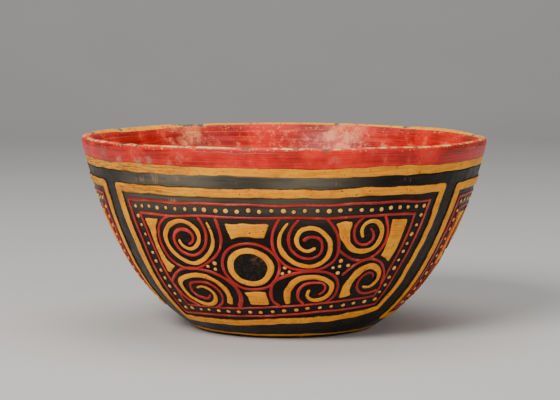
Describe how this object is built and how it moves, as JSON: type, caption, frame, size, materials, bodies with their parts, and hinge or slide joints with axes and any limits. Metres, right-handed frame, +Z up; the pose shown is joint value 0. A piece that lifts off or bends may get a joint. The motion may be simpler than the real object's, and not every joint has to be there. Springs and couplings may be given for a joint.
{
  "type": "carved wooden bowl",
  "caption": "Deep round wooden bowl with a flat foot, carved outside with framed panels of spirals, dots and a ringed boss in red, ochre and black.",
  "frame": {"origin": "centre of the flat foot, on the plane the bowl rests on", "axes": "+Z up along the bowl's axis, -Y towards the middle of the front panel, +X to the right of it"},
  "size_m": [0.3007, 0.3008, 0.1427],
  "materials": {
    "bare_wood": "oiled, worn bare wood",
    "black_paint": "polished black stain on wood",
    "red_paint": "worn satin red paint on wood",
    "ochre_paint": "worn satin yellow ochre paint on wood",
    "cream_paint": "satin cream paint on wood",
    "rough_dark": "rough dark brown, tooled wood"
  },
  "bodies": {
    "root": {"bowl_body": "bare_wood", "interior_coat": "red_paint", "foot_band_black": "black_paint", "foot_ring_ochre": "ochre_paint", "black_ground": "black_paint", "rim_band_ochre": "ochre_paint", "rim_band_red": "red_paint", "front_frame": "ochre_paint", "front_outer_line": "red_paint", "front_red_lines": "red_paint", "front_ochre_scrolls": "ochre_paint", "front_ochre_blocks": "ochre_paint", "front_roundel_ring": "ochre_paint", "front_roundel_boss": "rough_dark", "front_border_dots": "cream_paint", "front_fill_dots": "cream_paint", "right_frame": "ochre_paint", "right_outer_line": "red_paint", "right_red_lines": "red_paint", "right_ochre_scrolls": "ochre_paint", "right_ochre_blocks": "ochre_paint", "right_roundel_ring": "ochre_paint", "right_roundel_boss": "rough_dark", "right_border_dots": "cream_paint", "right_fill_dots": "cream_paint", "left_frame": "ochre_paint", "left_outer_line": "red_paint", "left_red_lines": "red_paint", "left_ochre_scrolls": "ochre_paint", "left_ochre_blocks": "ochre_paint", "left_roundel_ring": "ochre_paint", "left_roundel_boss": "rough_dark", "left_border_dots": "cream_paint", "left_fill_dots": "cream_paint"}
  },
  "joints": []
}
